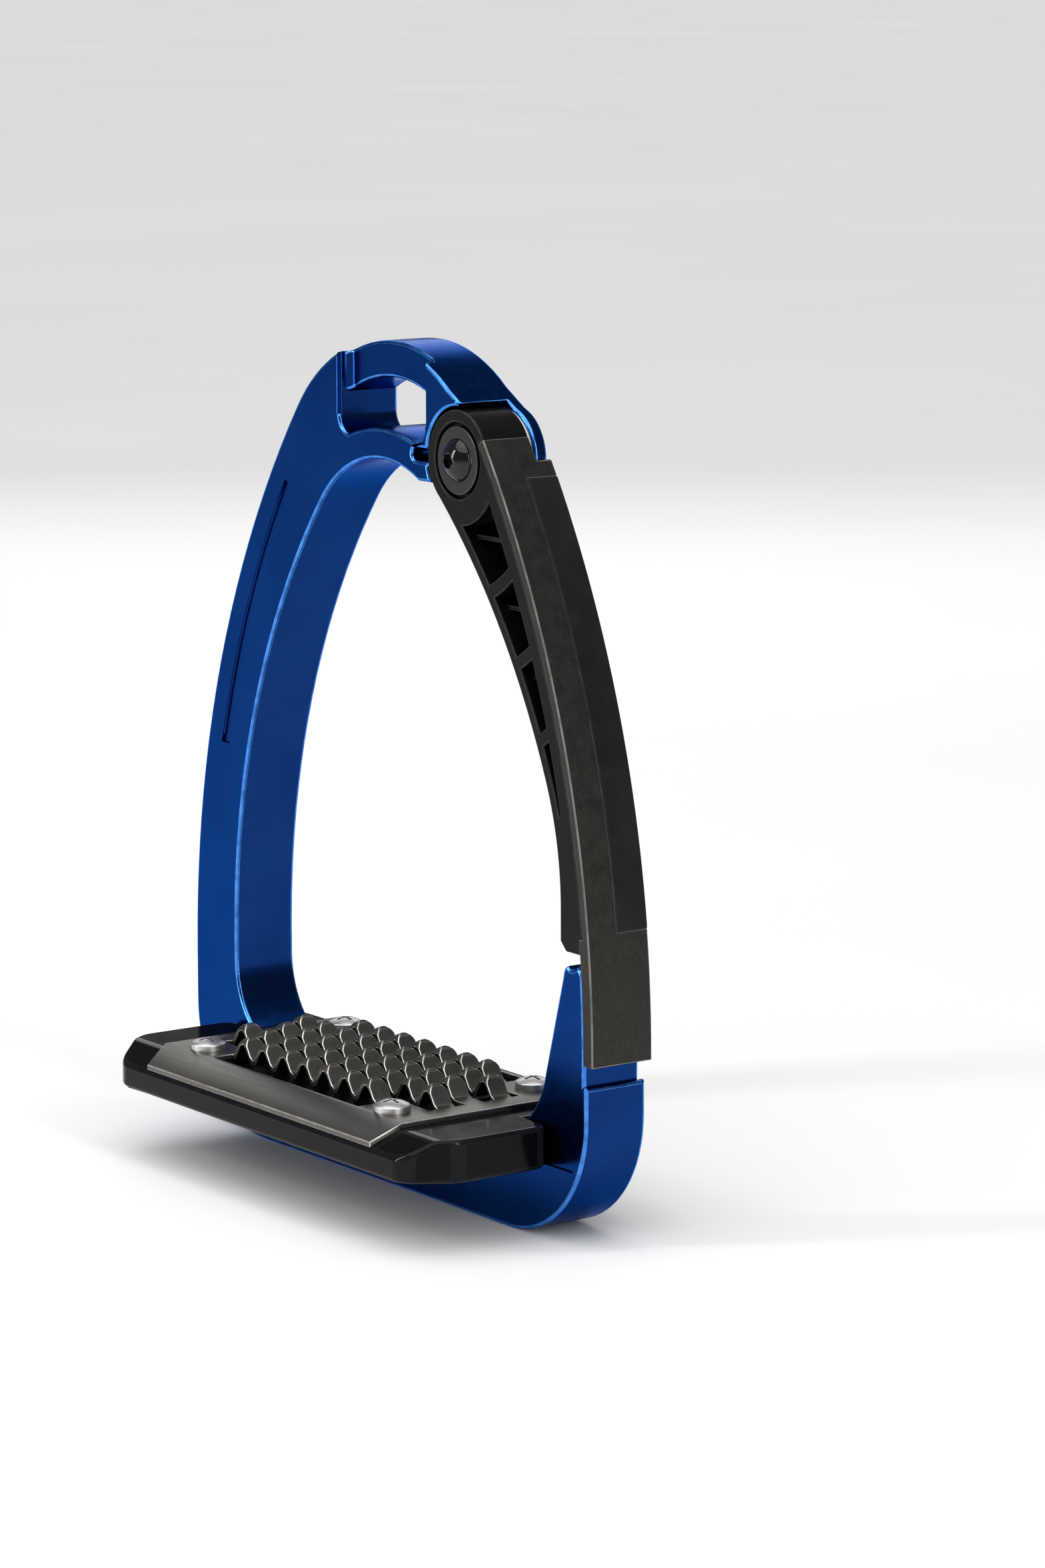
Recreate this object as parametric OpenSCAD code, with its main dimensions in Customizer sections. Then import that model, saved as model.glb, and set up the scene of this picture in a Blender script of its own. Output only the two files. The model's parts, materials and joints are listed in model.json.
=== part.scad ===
// Safety stirrup iron with an outer arm that swings open to free the foot.
// Millimetres, +Z up. Origin: middle of the base bar, on its underside, in the frame's mid plane.
// +X points to the opening side, +Y to the back, the wide side of the footbed lies toward -Y.

/* [Arch] */
// width of the iron over both sides at its widest level
overall_width = 154.4; // [140:0.2:180]
// height from the underside of the base bar to the top of the arch
overall_height = 186; // [160:0.5:220]
// front to back depth of the frame and the arm
frame_depth = 15.6; // [14:0.1:19]
// thickness of the fixed leg seen from the front
leg_width = 17.2; // [13:0.1:21]
// height of the base bar
bar_height = 20; // [17:0.5:24]
// level at which the outside flanks stand vertical
flank_level = 40; // [36:0.5:46]
// level at which the inside of the fixed leg stands vertical
inner_flank_level = 46; // [40:0.5:52]
// height of metal between the arch top and the inside of the arch
crown_depth = 25.4; // [24:0.2:30]
// radius of the top of the arch, outside
outer_top_r = 41.7; // [38:0.1:48]
// radius of the top of the arch, inside
inner_top_r = 30.2; // [26:0.1:36]
// outside radius of the two bottom corners
corner_r = 28; // [22:0.5:32]
// inside radius of the two bottom corners
inner_corner_r = 20; // [14:0.5:24]

/* [Leather slot] */
// width of the slot the leather runs through
slot_width = 32.6; // [28:0.2:36]
// thickness of the bar above the slot
slot_bar = 7.9; // [6.5:0.1:10]
// metal left between the slot and the inside of the arch
slot_floor = 6.7; // [5:0.1:8.4]
// radius of the lower corners of the slot
slot_corner_r = 4; // [2.5:0.1:5]
// how far the slot bar is set back at the front
slot_relief = 3.2; // [2.8:0.1:4]
// radius between the set back face and the sides of its recess
relief_fillet = 1.9; // [0.8:0.1:2]
// rounding of the recess's front edges
relief_round = 1.2; // [0.4:0.1:1.2]

/* [Leg panel] */
// depth of the shallow panel sunk in each face of the leg
panel_depth = 0.6; // [0.3:0.1:1]
// distance of the panel from the outside edge of the leg
panel_inset = 5.8; // [4.5:0.1:7]
// height of the lower end of the panel
panel_low = 90; // [80:1:100]

/* [Post] */
// height of the short post the arm closes against
post_height = 60.4; // [54:0.2:68]
// thickness of the post at its top
post_top_width = 6.8; // [6.2:0.1:8]
// rounding of the post's top edges
post_round = 2.2; // [1:0.1:2.4]
// height of the step below the closed arm
post_step_height = 35.3; // [33:0.1:37]
// how much further in the base corner stands than the arm
base_inset = 2.2; // [1.2:0.1:3]
// depth to which the post is slimmed at the front and at the back
post_relief = 0.6; // [0.3:0.1:1]

/* [Hinge] */
// radius of the arm's eye
eye_r = 10.8; // [10:0.1:12]
// how far the eye stands out past the outline of the arch
eye_proud = 3.2; // [2:0.1:4]
// distance of the eye's socket from the side of the slot
hinge_land = 0.9; // [0.6:0.1:2]
// gap between the eye and its socket in the frame
socket_gap = 0.6; // [0.4:0.1:1]
// gap between the eye and the flat stop above it
stop_gap = 1.2; // [1:0.1:2.2]
// thickness of the cheek behind the eye
cheek_t = 3.2; // [2.8:0.1:4]
// how much larger the cheek is than the eye
cheek_margin = 0.4; // [0:0.1:0.8]
// diameter of the pivot barrel the arm turns on
barrel_d = 7.6; // [7:0.1:8.4]
// thread diameter of the pivot screw
pivot_thread_d = 5; // [4:0.5:5.5]
// head diameter of the pivot screw
pivot_head_d = 9.4; // [8.4:0.1:10.4]
// diameter of the cover washer in the eye
cover_washer_d = 14.6; // [13:0.1:15]
// wall thickness of the bush in the eye
bush_wall = 1.1; // [0.9:0.1:1.4]
// wire diameter of the closing spring
spring_wire_d = 1.4; // [1:0.1:1.6]

/* [Arm] */
// thickness of the outside cover of the arm
cover_t = 2; // [1.6:0.1:2.6]
// thickness of the arm just above the latch, without the cover
arm_foot_width = 9.4; // [9:0.1:11]
// gap between the top of the post and the underside of the arm
foot_gap = 3.1; // [1.5:0.1:5]
// height at which the arm starts to widen toward the eye
arm_waist_height = 98.5; // [90:0.5:108]
// distance of the inside of the arm from the outside line at that height
arm_waist_inset = 16.7; // [15:0.1:19]
// gap between the step of the post and the lower end of the cover
tongue_gap = 4.7; // [1:0.1:8]
// thickness of the tongue that lies on the post
tongue_t = 3.3; // [2.8:0.1:4]
// thickness of the web between the pockets
web_t = 2.4; // [1.6:0.1:4]
// thickness of the rail along the outside of the arm
rail_t = 3.4; // [2.8:0.1:4.4]
// thickness of the wall along the inside of the arm
wall_t = 2.2; // [1.6:0.1:3]

/* [Latch] */
// thickness of the latch plunger
plunger_t = 2.9; // [2.4:0.1:3.2]
// width of the latch plunger from front to back
plunger_w = 8.1; // [6:0.1:9]
// depth to which the plunger's nose enters the groove on the post
latch_bite = 0.4; // [0.2:0.05:0.5]

/* [Footbed] */
// length of the footbed along the base bar
tray_length = 125.4; // [112:0.2:140]
// depth of the footbed from front to back
tray_depth = 60; // [54:0.5:70]
// how far the middle of the footbed lies forward of the frame
tray_offset = 12; // [8:0.5:14]
// how far the footbed reaches down past the top of the base bar
tray_skirt = 4; // [3:0.5:6]
// height of the flat top of the footbed above the base bar
tray_rise = 5.3; // [5:0.1:8]
// height of the sloping part along the long edges
tray_slope_h = 3.9; // [2.5:0.1:5]
// width of the sloping part along the long edges
tray_slope_w = 6.8; // [5:0.1:9]
// corner cut along the long edge
tray_cut_x = 6.5; // [4:0.1:9]
// corner cut along the short edge
tray_cut_y = 10.5; // [6:0.1:12]

/* [Grip plate] */
// thickness of the grip plate
plate_t = 1.2; // [1:0.1:1.6]
// length of the grip plate
plate_length = 94; // [86:0.5:100]
// height of the teeth above the plate
tooth_h = 4.5; // [3:0.1:6]
// distance from tooth to tooth
tooth_pitch = 8.1; // [7:0.1:8.4]
// width of one toothed strip
strip_w = 4.6; // [3.6:0.1:5.2]
// distance from strip to strip
strip_pitch = 7.4; // [6.8:0.1:7.6]
// distance of the plate screws from the middle, along the bar
screw_x = 36.5; // [35.8:0.1:38]
// distance of the plate screws from the middle of the plate, front to back
screw_y = 18.5; // [18:0.1:19]
// head diameter of the plate screws
screw_head_d = 8; // [7:0.1:8.4]
// thread diameter of the plate screws
screw_d = 4; // [3:0.5:4.5]

/* [Hidden] */
$fn = 96;
arc_fn = 300;
over = 1;
far = 400;

// running and seating clearances
bearing_gap = 0.03;
side_gap = 0.6;
washer_gap = 0.15;
seat_gap = 0.1;
post_gap = 0.45;

// fixed leg and arch
half_w = overall_width / 2;
half_d = frame_depth / 2;
inner_half_w = half_w - leg_width;
inner_height = overall_height - crown_depth;
outer_rise = overall_height - flank_level;
inner_rise = inner_height - inner_flank_level;
outer_flank_r = arch_flank_r(half_w, outer_rise, outer_top_r);
inner_flank_r = arch_flank_r(inner_half_w, inner_rise, inner_top_r);
outer_top_z = overall_height - outer_top_r;
inner_top_z = inner_height - inner_top_r;

// leather slot
slot_crown_r = inner_top_r + slot_floor;
slot_side_lift = 1.5;
slot_side_rise = sqrt(slot_crown_r * slot_crown_r - slot_width * slot_width / 4);
slot_side_z = inner_top_z + slot_side_rise + slot_corner_r + slot_side_lift;

// hinge
socket_r = eye_r + socket_gap;
pivot_orbit = outer_top_r - eye_r + eye_proud;
pivot_x = slot_width / 2 + hinge_land + socket_r;
pivot_z = outer_top_z + sqrt(pivot_orbit * pivot_orbit - pivot_x * pivot_x);
stop_height = eye_r + stop_gap;
cheek_r = eye_r + cheek_margin;
bush_d = barrel_d + 2 * bush_wall;
eye_back = half_d - cheek_t - side_gap;
washer_t = 1.3;
washer_seat = 1.5;
washer_back = -half_d + washer_seat - washer_gap;
cavity_r = eye_r - 2.9;
cavity_front = -half_d + 4.3;
thrust_t = 0.5;
flange_d = 12;
flange_t = 1.2;
lip_z = pivot_z - 5.7;
rear_cut_r = cheek_r + 0.5;
spring_r = (bush_d / 2 + cavity_r) / 2;
spring_turns = 3.5;
spring_lead = 1.55;
spring_start_y = cavity_front + 1.1;
leg_y = spring_start_y;
key_slot_w = 2.8;
key_slot_end = pivot_x - socket_r - 4.2;
leg_bite = 2.8;
swing = 60;

// arm
arm_u = half_w - pivot_x;
arm_v = pivot_z - flank_level;
arm_flank_r = (arm_u * arm_u + arm_v * arm_v - eye_r * eye_r) / (2 * (arm_u - eye_r));
arm_cx = half_w - arm_flank_r;
cover_angle = atan2(pivot_z - flank_level, pivot_x - arm_cx) - 5;
arm_foot_height = post_height + foot_gap;
tongue_height = post_step_height + tongue_gap;
tongue_top = arm_foot_height + 3.5;
foot_x = half_w - 2 - arm_foot_width;
waist = [half_w - arm_waist_inset, arm_waist_height];
calf_z = arm_foot_height + 8.5;
calf_r = (pow(foot_x - waist[0], 2) + pow(waist[1] - calf_z, 2)) / (2 * (foot_x - waist[0]));
calf_c = [foot_x - calf_r, calf_z];
waist_n = (waist - calf_c) / calf_r;
waist_w = [pivot_x, pivot_z] - waist;
blend_r = eye_r - 0.05;
back_r = (waist_w * waist_w - blend_r * blend_r) / (2 * (blend_r - waist_w * waist_n));
back_c = waist - back_r * waist_n;
eye_point = [pivot_x, pivot_z] + blend_r * (back_c - [pivot_x, pivot_z]) / (back_r + blend_r);
inlay_t = 1;
inlay_low = tongue_top + 1;
rib_r = [14, 27.8, 30.9, 44.8, 47.7, 62, 65, 80];
rib_drop = 2.6;
low_rib_first = 16.5;
low_rib_pitch = 13.8;
low_rib_t = 1;
pin_d = 2.5;
pin_from = cover_t - 1;
pin_to = cover_t + 3.2;
pin_end_gap = 0.1;

// post and latch
post_r = arm_flank_r - tongue_t - post_gap;
base_half_w = half_w - base_inset;
post_top_out = arm_x(post_height - post_round, post_r);
post_top_in = post_top_out - post_top_width;
latch_x = post_top_out - post_top_width / 2 - 0.35;
latch_gap = 0.4;
nose_r = plunger_t / 2;
nose_z = post_height - latch_bite;
guide_margin = 1.1;
latch_play = 0.1;
guide_h = 2.3;
head_low = arm_foot_height + guide_h + 0.2;
head_high = head_low + 3.4;
bore_top = arm_foot_height + 13.5;
pad_w = 8;
pad_t = 1.2;
pad_proud = 0.15;
pad_low = post_height - 15.4;
pad_high = post_height - 8.4;

// footbed
tray_half = tray_depth / 2;
tray_low = bar_height - tray_skirt;
tray_top = bar_height + tray_rise;
tray_gap = 0.15;
pocket_floor = bar_height + 2.4;
fold_y = tray_half - tray_slope_w;
side_rows = floor((fold_y - 0.9) / strip_pitch) - 1;
pocket_half_y = (side_rows + 1) * strip_pitch;
middle_half_y = (side_rows - 0.5) * strip_pitch + 0.6;
side_teeth = floor((2 * screw_x - screw_head_d - 6) / tooth_pitch);
middle_teeth = floor((plate_length - 12) / tooth_pitch);
side_half_x = side_teeth / 2 * tooth_pitch + 0.4;
middle_half_x = middle_teeth / 2 * tooth_pitch + 0.4;
tray_wall = 2.5;
insert_d = 6;
insert_h = 4.6;
bolt_x = 22;
bolt_d = 5;
bolt_head_d = 8.5;
bolt_head_h = 1.7;
bolt_washer_t = 0.8;
bolt_depth = 12;
plate_top = tray_top + plate_t;
plate_corner = 3;
strip_t = 1.5;
strip_end = 0.4;
screw_hole_d = screw_d + 0.4;
screw_head_h = 2.5;
flange_y = tray_half - 0.4;

function arch_flank_r(w, h, rt) = (w * w + h * h - 2 * rt * h) / (2 * (w - rt));
function arch_join_z(w, z0, h, r, rt) = z0 + r * (h - rt) / (r - rt);
function arm_x(z, r) = arm_cx + sqrt(r * r - (z - flank_level) * (z - flank_level));
function polar(r, a) = [r * cos(a), r * sin(a)];

// lifts a front view drawing (X to the right, Z up) between two depths
module slab(y0, y1) {
  translate([0, y1, 0])
    rotate([90, 0, 0])
      linear_extrude(y1 - y0)
        children();
}

// a round bar from front to back
module rod(d, x, z, y0, y1) {
  slab(y0, y1)
    translate([x, z])
      circle(d = d);
}

// the arch shape above the level where the flanks stand vertical
module arch_2d(w, z0, h, r, rt) {
  join_z = arch_join_z(w, z0, h, r, rt);
  intersection() {
    translate([r - w, z0])
      circle(r, $fn = arc_fn);
    translate([w - r, z0])
      circle(r, $fn = arc_fn);
    translate([-far, z0])
      square([2 * far, join_z - z0]);
  }
  intersection() {
    translate([0, z0 + h - rt])
      circle(rt, $fn = arc_fn);
    translate([-far, join_z])
      square([2 * far, far]);
  }
}

// lower part of a shape with round bottom corners, different on the two sides
module foot_2d(left, right, low, high, r) {
  translate([left, low + r])
    square([right - left, high - low - r]);
  translate([left + r, low])
    square([right - left - 2 * r, r + 0.01]);
  translate([left + r, low + r])
    circle(r);
  translate([right - r, low + r])
    circle(r);
}

module outer_2d() {
  arch_2d(half_w, flank_level, outer_rise, outer_flank_r, outer_top_r);
  foot_2d(-half_w, base_half_w, 0, flank_level, corner_r);
}

module inner_2d() {
  arch_2d(inner_half_w, inner_flank_level, inner_rise, inner_flank_r, inner_top_r);
  foot_2d(-inner_half_w, inner_half_w, bar_height, inner_flank_level, inner_corner_r);
}

// the shoulder that joins the top of the arch to the cheek
module shoulder_2d() {
  line_a = atan2(pivot_z - outer_top_z, pivot_x) + acos((outer_top_r - cheek_r) / pivot_orbit);
  top_point = [0, outer_top_z] + polar(outer_top_r - 0.2, line_a + 4);
  cheek_point = [pivot_x, pivot_z] + polar(cheek_r - 0.2, line_a - 6);
  polygon([top_point, cheek_point, [pivot_x + 5, pivot_z - 1], [slot_width / 2 + 4, lip_z + 2]]);
}

module post_2d() {
  intersection() {
    translate([arm_cx, flank_level])
      circle(post_r, $fn = arc_fn);
    polygon([[inner_half_w - inner_corner_r, bar_height - over],
             [inner_half_w - 0.4, bar_height + inner_corner_r - 4],
             [post_top_in, post_height - post_round],
             [half_w, post_height - post_round],
             [half_w, bar_height - over]]);
  }
  translate([post_top_in + post_round, post_height - post_round])
    circle(post_round);
  translate([post_top_out - post_round, post_height - post_round])
    circle(post_round);
  translate([post_top_in + post_round, post_height - 2 * post_round])
    square([post_top_width - 2 * post_round, 2 * post_round]);
}

module frame_2d() {
  difference() {
    union() {
      intersection() {
        outer_2d();
        union() {
          translate([-far, -over])
            square([far, 2 * far]);
          translate([-over, lip_z])
            square([pivot_x + over, far]);
          translate([-over, -over])
            square([far, post_step_height + over]);
        }
      }
    }
    inner_2d();
  }
  shoulder_2d();
  difference() {
    post_2d();
    inner_foot_2d();
  }
}

// lower part of the foot opening
module inner_foot_2d() {
  foot_2d(-inner_half_w, inner_half_w, bar_height, bar_height + inner_corner_r + 0.5, inner_corner_r);
}

module slot_2d() {
  roof_r = outer_top_r - slot_bar;
  corner_x = slot_width / 2 - slot_corner_r;
  difference() {
    intersection() {
      translate([0, outer_top_z])
        circle(roof_r, $fn = arc_fn);
      union() {
        translate([-corner_x, inner_top_z])
          square([2 * corner_x, far]);
        translate([-slot_width / 2, slot_side_z])
          square([slot_width, far]);
        translate([-corner_x, slot_side_z])
          circle(slot_corner_r);
        translate([corner_x, slot_side_z])
          circle(slot_corner_r);
      }
    }
    translate([0, inner_top_z])
      circle(slot_crown_r, $fn = arc_fn);
  }
}

// recess in front of the slot bar, seen from above
module relief_plan_2d() {
  floor_y = slot_relief - half_d;
  side = slot_width / 2;
  difference() {
    translate([-side, -half_d - over])
      square([slot_width, slot_relief + over]);
    for (m = [-1, 1])
      scale([m, 1])
        difference() {
          translate([side - relief_fillet, floor_y - relief_fillet])
            square([relief_fillet + over, relief_fillet + over]);
          translate([side - relief_fillet, floor_y - relief_fillet])
            circle(relief_fillet);
        }
  }
  for (m = [-1, 1])
    scale([m, 1])
      difference() {
        translate([side - 0.01, -half_d - over])
          square([relief_round + 0.01, relief_round + over]);
        translate([side + relief_round, relief_round - half_d])
          circle(relief_round);
      }
}

// long tapering panel in the face of the leg
module panel_2d() {
  top_z = inner_height - 9;
  tip_r = 1.6;
  tip_x = -arm_left_x(panel_low, panel_inset) + tip_r;
  difference() {
    intersection() {
      translate([outer_flank_r - half_w, flank_level])
        circle(outer_flank_r - panel_inset, $fn = arc_fn);
      polygon([[tip_x - 4, panel_low],
               [tip_x + tip_r, panel_low],
               [tip_x + tip_r + 6, panel_low + 20],
               [-inner_half_w * 0.5 + 1, top_z - 11],
               [-inner_half_w * 0.5 - 2.5, top_z - 2],
               [-inner_half_w * 0.6 - 2.5, top_z + 1.5],
               [-half_w, top_z + 4],
               [-half_w, panel_low]]);
    }
    translate([inner_flank_r - inner_half_w, inner_flank_level])
      circle(inner_flank_r + 3.2, $fn = arc_fn);
  }
}

function arm_left_x(z, inset) =
  sqrt(pow(outer_flank_r - inset, 2) - pow(z - flank_level, 2)) - outer_flank_r + half_w;

// region of the slimmer post faces
module post_relief_2d() {
  intersection() {
    union() {
      translate([base_half_w - corner_r, corner_r])
        circle(corner_r - 2);
      translate([0, corner_r])
        square([base_half_w - 2, post_step_height - corner_r]);
      translate([0, 0])
        square([base_half_w - corner_r, corner_r]);
      translate([0, post_step_height - 0.01])
        square([far, far]);
    }
    translate([inner_half_w - inner_corner_r - 6, tray_low + 0.4])
      square([far, post_height + over - tray_low]);
  }
}

module frame() {
  color("royalblue")
  difference() {
    union() {
      slab(-half_d, half_d)
        frame_2d();
      rod(2 * cheek_r, pivot_x, pivot_z, half_d - cheek_t - over, half_d);
    }
    slab(-half_d - over, half_d - cheek_t)
      socket_2d();
    slab(-half_d - over, half_d + over)
      slot_2d();
    translate([0, 0, slot_side_z])
      linear_extrude(far)
        relief_plan_2d();
    slab(-half_d - over, -half_d + panel_depth)
      panel_2d();
    slab(half_d - panel_depth, half_d + over)
      panel_2d();
    slab(-half_d - over, -half_d + post_relief)
      post_relief_2d();
    slab(half_d - post_relief, half_d + over)
      post_relief_2d();
    rod(barrel_d + 2 * seat_gap, pivot_x, pivot_z, half_d - cheek_t - over, half_d + over);
    rod(flange_d + 2 * seat_gap, pivot_x, pivot_z, half_d - flange_t - seat_gap, half_d + over);
    slab(-half_d - over, leg_y + spring_wire_d)
      key_slot_2d();
    slab(-half_d - over, half_d + over)
      translate([latch_x, nose_z + nose_r])
        circle(nose_r + latch_gap);
    for (x = [-bolt_x, bolt_x])
      translate([x, 0, bar_height - bolt_depth])
        cylinder(d = bolt_d, h = bolt_depth + over);
    stop_pad_pocket();
  }
}

module socket_2d() {
  translate([pivot_x, pivot_z])
    circle(socket_r);
  translate([pivot_x, 0])
    intersection() {
      square([far, pivot_z + stop_height]);
      translate([-far / 2, post_height + over])
        square([far, far]);
    }
}

// slot in the frame that holds the fixed leg of the closing spring
module key_slot_2d() {
  translate([key_slot_end, pivot_z])
    circle(d = key_slot_w);
  translate([key_slot_end, pivot_z - key_slot_w / 2])
    square([pivot_x - socket_r - key_slot_end + over, key_slot_w]);
}

// outline of the footbed from above, centred on its own middle
module tray_plan_2d() {
  x = tray_length / 2;
  y = tray_half;
  polygon([[-x + tray_cut_x, -y], [x - tray_cut_x, -y], [x, -y + tray_cut_y], [x, y - tray_cut_y],
           [x - tray_cut_x, y], [-x + tray_cut_x, y], [-x, y - tray_cut_y], [-x, -y + tray_cut_y]]);
}

module tray_section_2d() {
  y = tray_half;
  polygon([[-y, tray_low], [y, tray_low], [y, tray_top - tray_slope_h], [fold_y, tray_top],
           [-fold_y, tray_top], [-y, tray_top - tray_slope_h]]);
}

// lifts a side view drawing (Y to the right, Z up) along the whole length
module along_x(len) {
  translate([-len / 2, 0, 0])
    rotate([90, 0, 90])
      linear_extrude(len)
        children();
}

module tray() {
  color("black")
  difference() {
    translate([0, -tray_offset, 0])
      difference() {
        intersection() {
          translate([0, 0, tray_low])
            linear_extrude(far)
              tray_plan_2d();
          along_x(tray_length)
            tray_section_2d();
        }
        translate([-side_half_x, -pocket_half_y, pocket_floor])
          cube([2 * side_half_x, 2 * pocket_half_y, far]);
        translate([-middle_half_x, -middle_half_y, pocket_floor])
          cube([2 * middle_half_x, 2 * middle_half_y, far]);
        for (x = [-screw_x, screw_x])
          for (y = [-screw_y, screw_y])
            translate([x, y, tray_top - insert_h - 0.2])
              cylinder(d = insert_d, h = far);
      }
    tray_cells();
    translate([-far, -half_d - tray_gap, 0])
      cube([2 * far, frame_depth + 2 * tray_gap, bar_height + 0.05]);
    slab(-half_d - tray_gap, half_d + tray_gap)
      tray_notch_2d();
    for (x = [-bolt_x, bolt_x])
      translate([x, 0, bar_height - over])
        cylinder(d = bolt_d + 0.4, h = far);
  }
}

// hollow cells under the footbed, in front of the base bar and behind it
module tray_cells() {
  cell = (tray_length - 2 * tray_wall - 2 * tray_cut_x) / 5;
  front = -tray_offset - tray_half + 3.2;
  back = -half_d - tray_gap - tray_wall;
  for (i = [0:4])
    translate([-tray_length / 2 + tray_wall + tray_cut_x + i * cell + 1, front, tray_low - over])
      difference() {
        cube([cell - 2, back - front, bar_height - tray_low + over - 0.6]);
        for (x = [-screw_x, screw_x])
          translate([x + tray_length / 2 - tray_wall - tray_cut_x - i * cell - 1,
                     -tray_offset - screw_y - front, 0])
            cylinder(d = insert_d + 4, h = far);
      }
}

module tray_notch_2d() {
  difference() {
    translate([-far, 0])
      square([2 * far, tray_top + over]);
    foot_2d(-inner_half_w + tray_gap, inner_half_w - tray_gap, bar_height + 0.05,
            tray_top + 4 + inner_corner_r, inner_corner_r - tray_gap);
  }
}

// bent sheet seen from the side
module plate_section_2d() {
  y = flange_y;
  drop = (flange_y - fold_y) * tray_slope_h / tray_slope_w;
  polygon([[-y, tray_top - drop], [-fold_y, tray_top], [fold_y, tray_top], [y, tray_top - drop],
           [y, plate_top - drop], [fold_y, plate_top], [-fold_y, plate_top], [-y, plate_top - drop]]);
}

module plate_plan_2d() {
  x = plate_length / 2;
  y = fold_y;
  end = flange_y + over;
  polygon([[-x, -y], [plate_corner - x, -end], [x - plate_corner, -end], [x, -y],
           [x, y], [x - plate_corner, end], [plate_corner - x, end], [-x, y]]);
}

// height of a tooth, from 0 in the valley to 1 on the tip, as u runs over one tooth
function wave(u) = let (p = u - floor(u)) p < 0.5 ? tooth_shape(2 * p) : tooth_shape(2 - 2 * p);
function tooth_shape(t) = t < 0.5 ? tooth_bend(t) : 1 - tooth_bend(1 - t);
function tooth_bend(t) = 2.6 * t * t * (1 - 0.46 * t);

// one toothed strip seen from the front
module strip_2d(count, half_len) {
  steps = 8;
  n = count * steps;
  start = -count * tooth_pitch / 2;
  low = tray_top;
  top = [for (i = [0:n]) [start + i * tooth_pitch / steps, low + plate_t + tooth_h * wave(i / steps)]];
  bottom = [for (i = [n:-1:0]) [start + i * tooth_pitch / steps,
                               low + max(0, plate_t + tooth_h * wave(i / steps) - strip_t)]];
  polygon(concat([[-half_len, low], [-half_len, low + plate_t]], top,
                 [[half_len, low + plate_t], [half_len, low]], bottom));
}

// round top of the teeth, seen along the strip
module tooth_dome_2d() {
  dome_r = strip_w / 2 + 0.1;
  dome_z = plate_top + tooth_h - dome_r;
  translate([0, dome_z])
    circle(dome_r);
  translate([-dome_r, tray_top - over])
    square([2 * dome_r, dome_z - tray_top + over]);
}

module grip_plate() {
  color("silver")
  translate([0, -tray_offset, 0])
  union() {
    difference() {
      intersection() {
        along_x(plate_length)
          plate_section_2d();
        linear_extrude(far)
          plate_plan_2d();
      }
      translate([-side_half_x, -pocket_half_y + 0.3, 0])
        cube([2 * side_half_x, 2 * pocket_half_y - 0.6, far]);
      translate([-middle_half_x, -middle_half_y, 0])
        cube([2 * middle_half_x, 2 * middle_half_y, far]);
      for (x = [-screw_x, screw_x])
        for (y = [-screw_y, screw_y])
          translate([x, y, 0])
            cylinder(d = screw_hole_d, h = far);
    }
    for (k = [-side_rows:side_rows]) {
      outer = abs(k) == side_rows;
      count = outer ? side_teeth : (k == 0 ? middle_teeth - 1 : middle_teeth);
      reach = (outer ? side_half_x : middle_half_x) + strip_end;
      translate([0, k * strip_pitch, 0])
        intersection() {
          slab(-strip_w / 2, strip_w / 2)
            strip_2d(count, reach);
          along_x(2 * reach + over)
            tooth_dome_2d();
        }
    }
  }
}

// a pan head screw standing on z = 0, cross recess on top
module pan_screw(d, head_d, head_h, len) {
  dome_r = head_d * 0.95;
  difference() {
    union() {
      intersection() {
        cylinder(d = head_d, h = head_h);
        translate([0, 0, head_h - dome_r])
          sphere(r = dome_r);
      }
      translate([0, 0, -len])
        cylinder(d = d, h = len + 0.1);
    }
    translate([-head_d * 0.28, -head_d * 0.05, head_h * 0.35])
      cube([head_d * 0.56, head_d * 0.1, head_h]);
    translate([-head_d * 0.05, -head_d * 0.28, head_h * 0.35])
      cube([head_d * 0.1, head_d * 0.56, head_h]);
  }
}

module at_plate_screws() {
  for (x = [-screw_x, screw_x])
    for (y = [-screw_y, screw_y])
      translate([x, y - tray_offset, 0])
        children();
}

module plate_screws() {
  color("lightgray")
  at_plate_screws()
    translate([0, 0, plate_top])
      pan_screw(screw_d, screw_head_d, screw_head_h, plate_t + insert_h - 0.4);
}

module plate_inserts() {
  color("goldenrod")
  at_plate_screws()
    translate([0, 0, tray_top - insert_h])
      difference() {
        cylinder(d = insert_d, h = insert_h);
        translate([0, 0, -over])
          cylinder(d = screw_d, h = insert_h + 2 * over);
      }
}

module tray_bolts() {
  color("dimgray")
  for (x = [-bolt_x, bolt_x])
    translate([x, 0, pocket_floor + bolt_washer_t])
      difference() {
        union() {
          cylinder(d = bolt_head_d, h = bolt_head_h);
          translate([0, 0, -bolt_depth - 1])
            cylinder(d = bolt_d, h = bolt_depth + 1.1);
        }
        translate([0, 0, 0.5])
          cylinder(d = 3.4, h = bolt_head_h, $fn = 6);
      }
}

module tray_washers() {
  color("gray")
  for (x = [-bolt_x, bolt_x])
    translate([x, 0, pocket_floor])
      difference() {
        cylinder(d = bolt_head_d + 1.5, h = bolt_washer_t);
        translate([0, 0, -over])
          cylinder(d = bolt_d + 0.3, h = bolt_washer_t + 2 * over);
      }
}

// flanged barrel nut: passes through the cheek from behind and carries the arm
module pivot_barrel() {
  color("silver")
  difference() {
    union() {
      rod(flange_d, pivot_x, pivot_z, half_d - flange_t, half_d);
      rod(barrel_d, pivot_x, pivot_z, washer_back, half_d - flange_t + 0.1);
    }
    rod(pivot_thread_d, pivot_x, pivot_z, washer_back - over, half_d - flange_t - 1);
  }
}

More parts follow.
